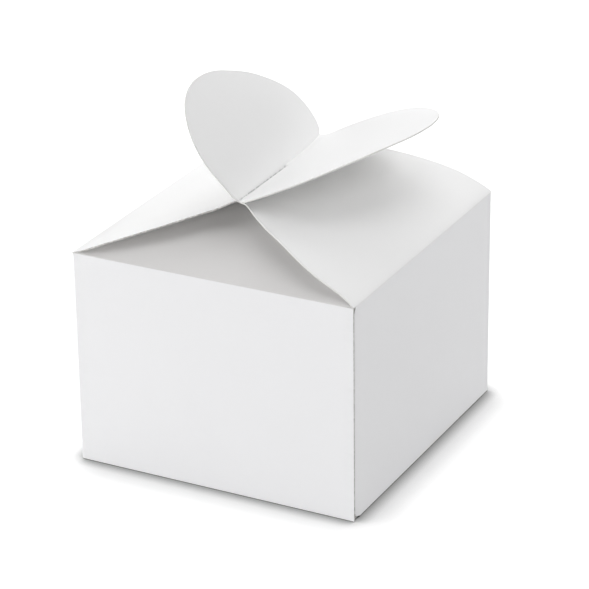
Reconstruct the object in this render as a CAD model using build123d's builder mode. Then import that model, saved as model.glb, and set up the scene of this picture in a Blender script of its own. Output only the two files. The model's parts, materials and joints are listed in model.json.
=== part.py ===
"""A white card favour box whose top closes with two interlocking round petals.

The box is one die-cut and creased blank, glued along one upright corner. Every panel between
two creases is modelled as a piece of its own, folded about the crease that joins it to the next.
Millimetres, +Z up, origin on the floor under the middle of the box, front wall at -Y.
"""
import os
from math import cos, radians, sin, tan

from build123d import *

# The box as it stands
box_width = 80.0
box_depth = 84.0
crease_height = 59.0
card = 0.4
corner_radius = 0.8

# Creases: a folded panel's root is a half round that turns just clear of the wall's edge
crease_clearance = 0.05

# Glued corner, front right
seam_setback = 0.5
glue_thickness = 0.05
tab_width = 14.0
tab_end_taper = 3.0
glue_margin = 2.0

# Closing flaps, left and right: outline in plan, and the slope angles of their bowed profile
flap_end_inset = 0.6
flap_shoulder_run = 16.5
flap_shoulder_half_width = 38.3
neck_half_width = 24.8
neck_edge_angle = 29.0
neck_rise = 14.7
left_root_angle = 25.0
left_neck_angle = 20.5
right_root_angle = 28.0
right_neck_angle = 18.9

# Petals beyond the neck. One half of each neck is whole, the other half is slit.
petal_length = 33.5
petal_half_width = 32.0
petal_heel_half_width = 26.3
petal_outline_shares = (
    (0.19, 0.85),
    (0.51, 1.00),
    (0.86, 0.93),
    (1.00, 0.57),
    (0.89, -0.01),
    (0.62, -0.55),
    (0.44, -0.78),
    (0.16, -0.89),
)
left_petal_angle = 26.5
left_petal_curl_angle = 15.9
left_petal_twist_angle = 2.0
left_petal_cup = 0.0
right_petal_angle = 67.0
right_petal_curl_angle = 13.5
right_petal_twist_angle = -5.7
right_petal_cup = 1.4
slit_gap = 0.65
slit_end_clearance = 0.2

# Dust flaps under the closing flaps, front and rear
dust_inset = 1.1
dust_run = 27.0
dust_rise = 11.0
dust_root_angle = 26.0
dust_tip_angle = 19.0
dust_tip_half_width = 8.4
dust_corner_radius = 4.0

# Tucked bottom
layer_clearance = 0.1
bottom_side_clearance = 0.3
tongue_clearance = 0.4
tongue_length = 12.0
tongue_lean = 8.0
tongue_side_inset = 1.6
tongue_corner_radius = 9.0
bottom_dust_length = 30.0
bottom_dust_front_inset = 2.6
bottom_dust_front_taper = 2.5
bottom_dust_rear_inset = 3.0
bottom_dust_corner_radius = 4.0

# Places worked out from the sizes above
half_card = card / 2
half_width = box_width / 2
half_depth = box_depth / 2
wall_x = half_width - half_card
wall_y = half_depth - half_card
flap_root_half_width = wall_y - flap_end_inset
root_gap = half_card + crease_clearance
wall_top = crease_height - root_gap
bottom_axis_height = half_card
bottom_dust_axis_height = card + layer_clearance + half_card
side_wall_foot = bottom_dust_axis_height + root_gap
rear_wall_foot = bottom_axis_height + root_gap
fold_radius = corner_radius - half_card
tab_outer_y = -half_depth + card + glue_thickness
tab_inner_y = tab_outer_y + card
tongue_y = tab_inner_y + tongue_clearance + half_card
bottom_half_width = wall_x - half_card - bottom_side_clearance
overrun = box_width
petal_overrun = card * 8
neck_overrun = card * 2
sheet_steps = 12
quarter_turn = 90

up = Vector(0, 0, 1)
parts_folder = "parts"


def save(piece, name):
    """Label a finished piece and write it under its own name."""
    piece.part.label = name
    export_step(piece.part, os.path.join(parts_folder, name + ".step"))
    solids = piece.part.solids()
    print(f"{name}: {len(solids)} solid, {sum(s.volume for s in solids):.1f} mm3")


def profile_plane(axis_point, inward):
    """The upright plane across a crease: its x runs inward, its y up."""
    return Plane(origin=axis_point, x_dir=inward, z_dir=inward.cross(up))


def plan_plane(axis_point, inward):
    """The level plane through a crease: its x runs inward."""
    return Plane(origin=axis_point, x_dir=inward, z_dir=up)


os.makedirs(parts_folder, exist_ok=True)

# Walls. The front and rear ones are flat, and the side ones carry the rounded upright folds.

with BuildPart() as front_panel:
    with BuildSketch(Plane.XY):
        with Locations((-half_width + corner_radius, -half_depth)):
            Rectangle(
                box_width - corner_radius - seam_setback, card, align=(Align.MIN, Align.MIN)
            )
    extrude(amount=wall_top)
save(front_panel, "front_panel")

with BuildPart() as rear_panel:
    with BuildSketch(Plane.XY.offset(rear_wall_foot)):
        with Locations((0, half_depth)):
            Rectangle(box_width - 2 * corner_radius, card, align=(Align.CENTER, Align.MAX))
    extrude(amount=wall_top - rear_wall_foot)
save(rear_panel, "rear_panel")

with BuildPart() as left_panel:
    with BuildSketch(Plane.XY.offset(side_wall_foot)):
        with BuildLine():
            front_end = (-half_width + corner_radius, -wall_y)
            rear_end = (-half_width + corner_radius, wall_y)
            front_fold = JernArc(front_end, (-1, 0), fold_radius, -quarter_turn)
            rear_fold = JernArc(rear_end, (-1, 0), fold_radius, quarter_turn)
            Line(front_fold @ 1, rear_fold @ 1)
        trace(line_width=card)
    extrude(amount=wall_top - side_wall_foot)
save(left_panel, "left_panel")

with BuildPart() as right_panel:
    with BuildSketch(Plane.XY.offset(side_wall_foot)):
        with BuildLine():
            seam_end = (half_width - corner_radius, tab_outer_y + half_card)
            rear_end = (half_width - corner_radius, wall_y)
            seam_fold = JernArc(seam_end, (1, 0), fold_radius, quarter_turn)
            rear_fold = JernArc(rear_end, (1, 0), fold_radius, -quarter_turn)
            Line(seam_fold @ 1, rear_fold @ 1)
        trace(line_width=card)
    extrude(amount=wall_top - side_wall_foot)
save(right_panel, "right_panel")

# The glue tab folds from the right panel and lies behind the front panel.

tab_root_x = half_width - corner_radius
tab_free_x = tab_root_x - tab_width
tab_face = Plane(origin=(0, tab_outer_y, 0), x_dir=(1, 0, 0), z_dir=(0, -1, 0))

with BuildPart() as glue_tab:
    with BuildSketch(tab_face):
        Polygon(
            (tab_root_x, side_wall_foot),
            (tab_root_x, wall_top),
            (tab_free_x, wall_top - tab_end_taper),
            (tab_free_x, side_wall_foot + tab_end_taper),
            align=None,
        )
    extrude(amount=-card)
save(glue_tab, "glue_tab")

with BuildPart() as seam_glue:
    with BuildSketch(tab_face):
        with Locations((tab_free_x + glue_margin, side_wall_foot + tab_end_taper + glue_margin)):
            Rectangle(
                tab_width - 2 * glue_margin,
                wall_top - side_wall_foot - 2 * (tab_end_taper + glue_margin),
                align=(Align.MIN, Align.MIN),
            )
    extrude(amount=glue_thickness)
save(seam_glue, "seam_glue")


# Interlocking closure. Both flaps share one outline and the right one is the left one turned
# half round, so that the slit half of each neck straddles the whole half of the other.


def flap_outline(plane):
    """Plan outline of a closing flap from its crease to its neck, slit on its -y half."""
    slit_x = wall_x - slit_gap
    neck_x = wall_x + neck_overrun
    edge_run = cos(radians(neck_edge_angle))
    edge_fall = sin(radians(neck_edge_angle))
    with BuildSketch(plane) as outline:
        with BuildLine():
            for side in (-1, 1):
                Spline(
                    (0, side * flap_root_half_width),
                    (flap_shoulder_run, side * flap_shoulder_half_width),
                    (slit_x, side * neck_half_width),
                    tangents=[(1, 0), (edge_run, -side * edge_fall)],
                )
            Polyline(
                (slit_x, neck_half_width),
                (neck_x, neck_half_width),
                (neck_x, slit_end_clearance),
                (slit_x, slit_end_clearance),
                (slit_x, -neck_half_width),
            )
            Polyline(
                (0, flap_root_half_width),
                (-half_card, flap_root_half_width),
                (-half_card, -flap_root_half_width),
                (0, -flap_root_half_width),
            )
        make_face()
    return outline.sketch


def neck_bend_plane(axis_point, inward, neck_slope, petal_slope):
    """The mitre plane of the bend at the neck, facing the petal."""
    mitre = radians((neck_slope + petal_slope) / 2)
    return Plane(
        origin=plan_plane(axis_point, inward).from_local_coords((wall_x, 0, neck_rise)),
        x_dir=up.cross(inward),
        z_dir=inward * cos(mitre) + up * sin(mitre),
    )


def closing_flap(axis_point, inward, root_slope, neck_slope, petal_slope):
    """A bowed flap with a half-round root, cut to its outline and mitred at the neck."""
    neck_direction = Vector(cos(radians(neck_slope)), sin(radians(neck_slope)))
    neck_point = Vector(wall_x, neck_rise)
    with BuildSketch(profile_plane(axis_point, inward)) as profile:
        with BuildLine():
            Spline(
                (0, 0),
                neck_point,
                tangents=[(cos(radians(root_slope)), sin(radians(root_slope))), neck_direction],
            )
            Line(neck_point, neck_point + neck_direction * neck_overrun)
        trace(line_width=card)
        Circle(half_card)
    extrude(profile.sketch, amount=flap_root_half_width, both=True)
    outline = flap_outline(plan_plane(axis_point, inward))
    extrude(outline, amount=overrun, both=True, mode=Mode.INTERSECT)
    bend = neck_bend_plane(axis_point, inward, neck_slope, petal_slope)
    split(bisect_by=bend, keep=Keep.BOTTOM)


def petal_outline(plane):
    """Outline of a petal in its own plane, joined to the neck on its +y half."""
    points = [(-neck_overrun, neck_half_width)]
    for along_share, across_share in petal_outline_shares:
        points.append((petal_length * along_share, petal_half_width * across_share))
    points.append((slit_gap, -petal_heel_half_width))
    with BuildSketch(plane) as outline:
        with BuildLine():
            Spline(*points)
            Polyline(
                (slit_gap, -petal_heel_half_width),
                (slit_gap, slit_end_clearance),
                (-neck_overrun, slit_end_clearance),
                (-neck_overrun, neck_half_width),
            )
        make_face()
    return outline.sketch


def petal_sheet(place, slope, curl, twist, cup):
    """The underside of a petal: curled along its length, twisted and cupped across it."""
    mean_slope = radians(slope - curl / 2)
    turn_rate = radians(curl) / petal_length
    twist_rate = tan(radians(twist)) / petal_length
    cup_rate = cup / (petal_half_width**2 * petal_length)
    reach = petal_length + 2 * petal_overrun
    breadth = petal_half_width + petal_overrun
    rows = []
    for i in range(sheet_steps + 1):
        along = reach * i / sheet_steps - petal_overrun
        angle = radians(slope) - turn_rate * along
        run = (sin(radians(slope)) - sin(angle)) / turn_rate
        rise = (cos(angle) - cos(radians(slope))) / turn_rate
        row = []
        for j in range(sheet_steps + 1):
            across = breadth * (2 * j / sheet_steps - 1)
            lift = -along * across * (twist_rate + cup_rate * across)
            x = wall_x + run - sin(angle) * lift + sin(mean_slope) * half_card
            z = neck_rise + rise + cos(angle) * lift - cos(mean_slope) * half_card
            row.append(place.from_local_coords((x, across, z)))
        rows.append(row)
    return Face.make_surface_from_array_of_points(rows)


def petal(axis_point, inward, neck_slope, slope, curl, twist, cup):
    """A petal cut to its outline from a curled sheet, bending up from the neck."""
    place = plan_plane(axis_point, inward)
    mean_slope = radians(slope - curl / 2)
    blade_plane = Plane(
        origin=place.from_local_coords((wall_x, 0, neck_rise)),
        x_dir=inward * cos(mean_slope) + up * sin(mean_slope),
        z_dir=up * cos(mean_slope) - inward * sin(mean_slope),
    )
    sheet = petal_sheet(place, slope, curl, twist, cup)
    extrude(sheet, amount=card, dir=blade_plane.z_dir)
    extrude(petal_outline(blade_plane), amount=overrun, both=True, mode=Mode.INTERSECT)
    bend = neck_bend_plane(axis_point, inward, neck_slope, slope)
    split(bisect_by=bend, keep=Keep.TOP)


left_crease = Vector(-wall_x, 0, crease_height)
right_crease = Vector(wall_x, 0, crease_height)
rightward = Vector(1, 0, 0)
leftward = Vector(-1, 0, 0)

with BuildPart() as left_flap:
    closing_flap(
        left_crease, rightward, left_root_angle, left_neck_angle, left_petal_angle
    )
save(left_flap, "left_flap")

with BuildPart() as right_flap:
    closing_flap(
        right_crease, leftward, right_root_angle, right_neck_angle, right_petal_angle
    )
save(right_flap, "right_flap")

with BuildPart() as left_petal:
    petal(
        left_crease,
        rightward,
        left_neck_angle,
        left_petal_angle,
        left_petal_curl_angle,
        left_petal_twist_angle,
        left_petal_cup,
    )
save(left_petal, "left_petal")

with BuildPart() as right_petal:
    petal(
        right_crease,
        leftward,
        right_neck_angle,
        right_petal_angle,
        right_petal_curl_angle,
        right_petal_twist_angle,
        right_petal_cup,
    )
save(right_petal, "right_petal")

# Dust flaps that lean under the closing flaps, from the front and the rear wall


def dust_flap(axis_point, inward):
    """A bowed flap with mitred sides and rounded tips."""
    root_half_width = wall_x - dust_inset
    with BuildSketch(profile_plane(axis_point, inward)) as profile:
        with BuildLine():
            Spline(
                (0, 0),
                (dust_run, dust_rise),
                tangents=[
                    (cos(radians(dust_root_angle)), sin(radians(dust_root_angle))),
                    (cos(radians(dust_tip_angle)), sin(radians(dust_tip_angle))),
                ],
            )
        trace(line_width=card)
        Circle(half_card)
    extrude(profile.sketch, amount=root_half_width, both=True)
    with BuildSketch(plan_plane(axis_point, inward)) as outline:
        Polygon(
            (-half_card, root_half_width),
            (0, root_half_width),
            (dust_run, dust_tip_half_width),
            (dust_run, -dust_tip_half_width),
            (0, -root_half_width),
            (-half_card, -root_half_width),
            align=None,
        )
        fillet(outline.vertices().group_by(Axis.X)[-1], radius=dust_corner_radius)
    extrude(outline.sketch, amount=overrun, both=True, mode=Mode.INTERSECT)


rearward = Vector(0, 1, 0)
forward = Vector(0, -1, 0)

with BuildPart() as front_dust_flap:
    dust_flap(Vector(0, -wall_y, crease_height), rearward)
save(front_dust_flap, "front_dust_flap")

with BuildPart() as rear_dust_flap:
    dust_flap(Vector(0, wall_y, crease_height), forward)
save(rear_dust_flap, "rear_dust_flap")

# Tucked bottom, hinged at the rear wall, with its tongue standing behind the front wall

with BuildPart() as bottom_panel:
    with BuildSketch(profile_plane(Vector(0, wall_y, bottom_axis_height), forward)):
        with BuildLine():
            Line((0, 0), (wall_y - tongue_y - root_gap, 0))
        trace(line_width=card)
        Circle(half_card)
    extrude(amount=bottom_half_width, both=True)
save(bottom_panel, "bottom_panel")

with BuildPart() as tuck_tongue:
    tongue_half_width = bottom_half_width - tongue_side_inset
    lean_run = tongue_length * sin(radians(tongue_lean))
    lean_rise = tongue_length * cos(radians(tongue_lean))
    with BuildSketch(profile_plane(Vector(0, tongue_y, bottom_axis_height), rearward)):
        with BuildLine():
            Line((0, 0), (lean_run, lean_rise))
        trace(line_width=card)
        Circle(half_card)
    extrude(amount=tongue_half_width, both=True)
    with BuildSketch(Plane.XZ) as outline:
        Rectangle(
            2 * tongue_half_width, bottom_axis_height + lean_rise, align=(Align.CENTER, Align.MIN)
        )
        fillet(outline.vertices().group_by(Axis.Y)[-1], radius=tongue_corner_radius)
    extrude(amount=overrun, both=True, mode=Mode.INTERSECT)
save(tuck_tongue, "tuck_tongue")


def bottom_dust_flap(side):
    """A flap from a side wall over the bottom panel, mitred towards the rear wall."""
    root_x = side * (wall_x + half_card)
    free_x = side * (wall_x - bottom_dust_length)
    front_y = -wall_y + bottom_dust_front_inset
    rear_y = wall_y - bottom_dust_rear_inset
    axis_point = Vector(side * wall_x, 0, bottom_dust_axis_height)
    with BuildSketch(profile_plane(axis_point, Vector(-side, 0, 0))) as profile:
        with BuildLine():
            Line((0, 0), (bottom_dust_length, 0))
        trace(line_width=card)
        Circle(half_card)
    extrude(profile.sketch, amount=half_depth, both=True)
    with BuildSketch(Plane.XY) as outline:
        Polygon(
            (root_x, front_y),
            (root_x, rear_y),
            (free_x, rear_y - bottom_dust_length),
            (free_x, front_y + bottom_dust_front_taper),
            align=None,
        )
        free_corners = outline.vertices().group_by(Axis.X)[-1 if side < 0 else 0]
        fillet(free_corners, radius=bottom_dust_corner_radius)
    extrude(outline.sketch, amount=overrun, both=True, mode=Mode.INTERSECT)


with BuildPart() as left_bottom_dust_flap:
    bottom_dust_flap(-1)
save(left_bottom_dust_flap, "left_bottom_dust_flap")

with BuildPart() as right_bottom_dust_flap:
    bottom_dust_flap(1)
save(right_bottom_dust_flap, "right_bottom_dust_flap")
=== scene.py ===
# %% [markdown]
# # A white card box that closes with two petals
# The real box is one creased blank of thin white board. Its four walls are glued into a sleeve,
# its bottom tucks in, and its two curved lid flaps slide into each other's slits, so that a round
# petal stands up from each one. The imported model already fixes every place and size, so the
# scene starts by loading it, and every piece made below is laid over its own node.

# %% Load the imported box
import json
import math

import bpy
import numpy as np
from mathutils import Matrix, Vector
from mathutils.geometry import delaunay_2d_cdt


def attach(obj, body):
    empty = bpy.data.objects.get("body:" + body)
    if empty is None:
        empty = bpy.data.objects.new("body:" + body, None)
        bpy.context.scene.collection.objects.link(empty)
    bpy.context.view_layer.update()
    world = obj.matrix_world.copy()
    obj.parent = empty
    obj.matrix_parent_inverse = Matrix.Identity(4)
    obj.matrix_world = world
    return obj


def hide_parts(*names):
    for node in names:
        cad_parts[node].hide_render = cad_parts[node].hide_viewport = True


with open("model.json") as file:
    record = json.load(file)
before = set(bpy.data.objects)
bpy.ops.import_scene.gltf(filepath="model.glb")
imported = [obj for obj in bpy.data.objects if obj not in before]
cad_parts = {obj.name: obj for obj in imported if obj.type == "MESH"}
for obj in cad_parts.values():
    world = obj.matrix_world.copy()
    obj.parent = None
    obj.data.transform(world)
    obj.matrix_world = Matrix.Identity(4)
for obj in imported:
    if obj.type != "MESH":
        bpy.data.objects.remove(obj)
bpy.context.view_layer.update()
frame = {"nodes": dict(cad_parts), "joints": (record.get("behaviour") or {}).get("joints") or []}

# %% [markdown]
# ## The creases
# A card piece turns about the middle of its board at the crease. The record keeps those lines,
# so they are read from it, in millimetres because board is thought of in millimetres.

# %% Read the crease lines
MM = 0.001
CARD = 0.4
creases = {j["name"]: [value / MM for value in j["pos_m"]] for j in frame["joints"]}
wall_x, _, crease_z = creases["right_flap_fold"]
wall_y = creases["rear_dust_flap_fold"][1]
half_card = CARD / 2
print("wall middles at", wall_x, wall_y, "lid creases at height", crease_z)

# %% [markdown]
# ## The camera
# A long lens stands in front of the box, to the right and above, as in the photograph. Its place
# and turn came from fitting the corners of the box, so the picture needs no shift.

# %% Make the camera
SENSOR_MM, LENS_MM = 36.0, 171.74
CAMERA_PLACE = (0.31458, -0.59993, 0.34165)
CAMERA_TURN = (65.858, 0.689, 27.211)
NEAREST_SEEN, FARTHEST_SEEN = 0.02, 20.0
camera_data = bpy.data.cameras.new("photo_camera")
camera_data.sensor_width = SENSOR_MM
camera_data.lens = LENS_MM
camera_data.clip_start = NEAREST_SEEN
camera_data.clip_end = FARTHEST_SEEN
camera = bpy.data.objects.new("photo_camera", camera_data)
camera.location = CAMERA_PLACE
camera.rotation_euler = [math.radians(turn) for turn in CAMERA_TURN]
bpy.context.scene.collection.objects.link(camera)
bpy.context.scene.camera = camera
print("camera", tuple(camera.location))

# %% [markdown]
# ## Effects that every board finish shares
# White board is never one flat white. Pressed fibres leave a fine tooth and a faint cloudiness,
# and handling darkens and roughens it along folds and cut edges. Each effect is a node group,
# so that the outside, the inside and the cut edge can use it with their own values.


# %% Helpers for nodes
def node_group(name, inputs, outputs):
    """An empty shader group. An input's kind follows from its value, and None is a vector."""
    group = bpy.data.node_groups.new(name, "ShaderNodeTree")
    for label, value in inputs.items():
        kind = "Vector" if value is None else "Color" if isinstance(value, tuple) else "Float"
        socket = group.interface.new_socket(
            label, in_out="INPUT", socket_type=f"NodeSocket{kind}")
        if value is not None:
            socket.default_value = value
    for label, kind in outputs.items():
        group.interface.new_socket(label, in_out="OUTPUT", socket_type=f"NodeSocket{kind}")
    return group, group.nodes.new("NodeGroupInput"), group.nodes.new("NodeGroupOutput")


def add(tree, kind, values=None, **settings):
    """A node with its settings and unlinked values."""
    node = tree.nodes.new(kind)
    for key, value in settings.items():
        setattr(node, key, value)
    for key, value in (values or {}).items():
        node.inputs[key].default_value = value
    return node


def join(tree, *links):
    """Link pairs of output and input. A node by itself stands for its first output."""
    for source, target in links:
        tree.links.new(getattr(source, "outputs", [source])[0], target)


def noise(group, group_in, scale, detail, roughness):
    """The value of a noise whose scale is one of the group's inputs."""
    node = add(group, "ShaderNodeTexNoise", {"Detail": detail, "Roughness": roughness})
    join(group, (group_in.outputs["Vector"], node.inputs["Vector"]),
         (group_in.outputs[scale], node.inputs["Scale"]))
    return node.outputs["Fac"]


# A Mix node holds sockets for numbers and for colours side by side, so they go by their places.
FACTOR, NUMBER_A, NUMBER_B, COLOR_A, COLOR_B, MIXED_COLOR = 0, 2, 3, 6, 7, 2
print("helpers", [helper.__name__ for helper in (node_group, add, join, noise)])

# %% [markdown]
# ### Fibre tooth
# Two noises are added: one as fine as single fibres and one as broad as the slow waves that
# board picks up when it is pressed. The sum is a height, which each material turns into bump.

# %% Fibre tooth group
tooth_group, tooth_in, tooth_out = node_group(
    "fibre_tooth",
    {"Vector": None, "Fibre Scale": 2600.0, "Wave Scale": 260.0, "Wave Share": 0.5},
    {"Height": "Float"},
)
tooth_mix = add(tooth_group, "ShaderNodeMix", data_type="FLOAT")
join(
    tooth_group,
    (tooth_in.outputs["Wave Share"], tooth_mix.inputs[FACTOR]),
    (noise(tooth_group, tooth_in, "Fibre Scale", detail=3.0, roughness=0.6),
     tooth_mix.inputs[NUMBER_A]),
    (noise(tooth_group, tooth_in, "Wave Scale", detail=2.0, roughness=0.5),
     tooth_mix.inputs[NUMBER_B]),
    (tooth_mix, tooth_out.inputs["Height"]),
)
print("group", tooth_group.name)

# %% [markdown]
# ### Clouded board
# Where fibres lie thicker the board is a touch lighter. A broad and a fine noise move the
# colour between two close tints.

# %% Clouded colour group
cloud_group, cloud_in, cloud_out = node_group(
    "clouded_board",
    {"Vector": None, "Light": (0.9, 0.9, 0.9, 1), "Dark": (0.86, 0.86, 0.86, 1),
     "Cloud Scale": 60.0, "Fleck Scale": 900.0, "Fleck Share": 0.35},
    {"Color": "Color", "Mask": "Float"},
)
cloud_mix = add(cloud_group, "ShaderNodeMix", data_type="FLOAT")
cloud_tint = add(cloud_group, "ShaderNodeMix", data_type="RGBA")
join(
    cloud_group,
    (cloud_in.outputs["Fleck Share"], cloud_mix.inputs[FACTOR]),
    (noise(cloud_group, cloud_in, "Cloud Scale", detail=3.0, roughness=0.55),
     cloud_mix.inputs[NUMBER_A]),
    (noise(cloud_group, cloud_in, "Fleck Scale", detail=2.0, roughness=0.6),
     cloud_mix.inputs[NUMBER_B]),
    (cloud_mix, cloud_tint.inputs[FACTOR]),
    (cloud_in.outputs["Dark"], cloud_tint.inputs[COLOR_A]),
    (cloud_in.outputs["Light"], cloud_tint.inputs[COLOR_B]),
    (cloud_tint.outputs[MIXED_COLOR], cloud_out.inputs["Color"]),
    (cloud_mix, cloud_out.inputs["Mask"]),
)
print("group", cloud_group.name)

# %% [markdown]
# ### Worn folds and edges, and painted shade
# Every piece carries a value for wear and painted shade: 1 on its cut edges, more where shade is
# painted into a seam, a slit edge or a bend, less beside its folds and 0 on its face. The group
# breaks that value up with noise, so the wear and the painted shade are patchy, and mixes a second
# colour in.

# %% Worn edge and painted shade group
# The second colour is both real wear and painted shade: strong values paint dark shadowed gaps.
wear_and_shade_group, wear_and_shade_in, wear_and_shade_out = node_group(
    "wear_and_shade_edges",
    {"Vector": None, "Wear And Shade": 0.0, "Color": (0.9, 0.9, 0.9, 1),
     "Wear And Shade Color": (0.8, 0.8, 0.8, 1), "Patch Scale": 700.0, "Amount": 0.6},
    {"Color": "Color", "Mask": "Float"},
)
patch_range = add(
    wear_and_shade_group, "ShaderNodeMapRange",
    {"From Min": 0.35, "From Max": 0.75, "To Min": 0.15, "To Max": 1.0},
)
patchy_wear_and_shade = add(wear_and_shade_group, "ShaderNodeMath", operation="MULTIPLY")
patch_amount = add(wear_and_shade_group, "ShaderNodeMath", operation="MULTIPLY", use_clamp=True)
wear_and_shade_tint = add(wear_and_shade_group, "ShaderNodeMix", data_type="RGBA")
join(
    wear_and_shade_group,
    (noise(wear_and_shade_group, wear_and_shade_in, "Patch Scale", detail=4.0, roughness=0.65),
     patch_range.inputs["Value"]),
    (patch_range, patchy_wear_and_shade.inputs[0]),
    (wear_and_shade_in.outputs["Wear And Shade"], patchy_wear_and_shade.inputs[1]),
    (patchy_wear_and_shade, patch_amount.inputs[0]),
    (wear_and_shade_in.outputs["Amount"], patch_amount.inputs[1]),
    (patch_amount, wear_and_shade_tint.inputs[FACTOR]),
    (wear_and_shade_in.outputs["Color"], wear_and_shade_tint.inputs[COLOR_A]),
    (wear_and_shade_in.outputs["Wear And Shade Color"], wear_and_shade_tint.inputs[COLOR_B]),
    (wear_and_shade_tint.outputs[MIXED_COLOR], wear_and_shade_out.inputs["Color"]),
    (patch_amount, wear_and_shade_out.inputs["Mask"]),
)
print("group", wear_and_shade_group.name)

# %% [markdown]
# ## The finishes
# One builder places the three groups in front of a Principled shader. Where fibres lie thicker
# the board is also a little rougher. The values that are the same all over a surface are set
# straight on the shader.

# %% Board finish builder
ROUGHNESS_SPREAD = 0.08


def board_finish(name, light, dark, wear_and_shade, rough, gloss, tooth_depth, **group_values):
    """A card material: clouded colour, worn edges with painted shade, and a fibre tooth."""
    material = bpy.data.materials.new(name)
    material.use_nodes = True
    tree = material.node_tree
    shader = tree.nodes["Principled BSDF"]
    shader.inputs["Specular IOR Level"].default_value = gloss
    place = add(tree, "ShaderNodeTexCoord").outputs["Object"]
    near_edge = add(tree, "ShaderNodeAttribute", attribute_name="wear_and_shade")
    clouded = add(tree, "ShaderNodeGroup", node_tree=cloud_group)
    wear_and_shade_edge = add(tree, "ShaderNodeGroup", node_tree=wear_and_shade_group)
    tooth = add(tree, "ShaderNodeGroup", node_tree=tooth_group)
    clouded.inputs["Light"].default_value = (*light, 1)
    clouded.inputs["Dark"].default_value = (*dark, 1)
    wear_and_shade_edge.inputs["Wear And Shade Color"].default_value = (*wear_and_shade, 1)
    for group in (clouded, wear_and_shade_edge, tooth):
        for key, value in group_values.items():
            label = key.replace("_", " ").title()
            if label in group.inputs:
                group.inputs[label].default_value = value
        tree.links.new(place, group.inputs["Vector"])
    roughness = add(
        tree, "ShaderNodeMapRange", {"To Min": rough, "To Max": rough + ROUGHNESS_SPREAD}
    )
    bump = add(tree, "ShaderNodeBump", {"Strength": 1.0, "Distance": tooth_depth * MM})
    join(
        tree,
        (near_edge.outputs["Fac"], wear_and_shade_edge.inputs["Wear And Shade"]),
        (clouded.outputs["Color"], wear_and_shade_edge.inputs["Color"]),
        (wear_and_shade_edge.outputs["Color"], shader.inputs["Base Color"]),
        (clouded.outputs["Mask"], roughness.inputs["Value"]),
        (roughness, shader.inputs["Roughness"]),
        (tooth.outputs["Height"], bump.inputs["Height"]),
        (bump.outputs["Normal"], shader.inputs["Normal"]),
    )
    return material


print("builder", board_finish.__name__)

# %% [markdown]
# ### One board, six finishes
# The outside of the board is smooth and matt, and a touch whiter on the lid than on the walls.
# The dust flaps get a greyer, slightly warmer copy of the same white: painted shade for the lid's
# shade over them, warmed like light bounced inside the box. The inside is a shade warmer, and the
# cut edge shows the raw layers, so it is darker and roughest. The line of glue has dried to a
# thin, slightly shiny film. The numbers are roughness, gloss and depth of tooth in millimetres.

# %% Make the finishes
wall_white = board_finish(
    "white_board_wall", (0.89, 0.89, 0.90), (0.87, 0.87, 0.88), (0.42, 0.42, 0.42),
    0.62, 0.28, 0.012, amount=0.07,
)
lid_white = board_finish(
    "white_board_lid", (0.90, 0.90, 0.90), (0.88, 0.88, 0.88), (0.42, 0.42, 0.42),
    0.62, 0.28, 0.009, amount=0.07,
)
# Painted shade: a greyer, warmer copy of the white for the shaded dust flaps.
dust_flap_white_in_painted_shade = board_finish(
    "white_board_dust_flap_in_painted_shade", (0.72, 0.71, 0.705), (0.69, 0.68, 0.675), (0.40, 0.40, 0.39),
    0.70, 0.22, 0.02, amount=0.07,
)
inside_white = board_finish(
    "white_board_inside", (0.87, 0.865, 0.85), (0.84, 0.835, 0.82), (0.78, 0.77, 0.75),
    0.80, 0.15, 0.009, amount=0.4, fleck_share=0.6, wave_share=0.3,
)
cut_white = board_finish(
    "white_board_cut", (0.84, 0.835, 0.82), (0.74, 0.735, 0.72), (0.42, 0.41, 0.40),
    0.88, 0.10, 0.05, amount=0.08, fleck_scale=3000.0, fleck_share=0.7, wave_share=0.2,
)
glue_film = board_finish(
    "dried_glue", (0.80, 0.78, 0.70), (0.76, 0.74, 0.66), (0.74, 0.72, 0.64),
    0.35, 0.5, 0.02, amount=0.2,
)
print("finishes", [material.name for material in bpy.data.materials])

# %% [markdown]
# ## How a piece of card is made
# Cut board is a flat outline with a thickness, bent in one direction at a time. So each piece is
# drawn flat, filled with points and joined into triangles, and a function then says where every
# flat point lies in space. The outline comes first: a die cuts straight sides and round corners,
# and long sides get more points, for the sheet to bend at.

# %% Sides and round corners
HAIR = 1e-6


def resampled(corners, longest):
    """A closed outline whose sides are no longer than longest."""
    points = []
    for (u0, v0), (u1, v1) in zip(corners, corners[1:] + corners[:1]):
        parts = max(1, math.ceil(math.hypot(u1 - u0, v1 - v0) / longest - HAIR))
        points += [(u0 + (u1 - u0) * i / parts, v0 + (v1 - v0) * i / parts) for i in range(parts)]
    return points


def rounded(corners, radii, steps=6):
    """A closed outline whose corners are rounded to their own radii."""
    out = []
    for i, (corner, radius) in enumerate(zip(corners, radii)):
        if not radius:
            out.append(tuple(corner))
            continue
        here = np.array(corner, float)
        before = np.array(corners[i - 1], float) - here
        after = np.array(corners[(i + 1) % len(corners)], float) - here
        before, after = before / np.hypot(*before), after / np.hypot(*after)
        half = math.acos(float(np.clip(before @ after, -1, 1))) / 2
        reach = radius / math.tan(half)
        middle = here + (before + after) / np.hypot(*(before + after)) * radius / math.sin(half)
        start, end = here + before * reach - middle, here + after * reach - middle
        turn = math.atan2(start[0] * end[1] - start[1] * end[0], start @ end)
        for k in range(steps + 1):
            c, s = math.cos(turn * k / steps), math.sin(turn * k / steps)
            out.append(tuple(middle + (start[0] * c - start[1] * s, start[0] * s + start[1] * c)))
    return out


corner_test = rounded([(0, 0), (9, 0), (9, 9), (0, 9)], (2, 2, 2, 2))
print("points on a square with round corners", len(corner_test))

# %% [markdown]
# ### A smooth edge through a few points
# The lobe of a petal has no straight side and no single radius. It is drawn as a draughtsman
# would with a bent spline: a few points are set out, and the smoothest curve runs through them.


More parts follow.
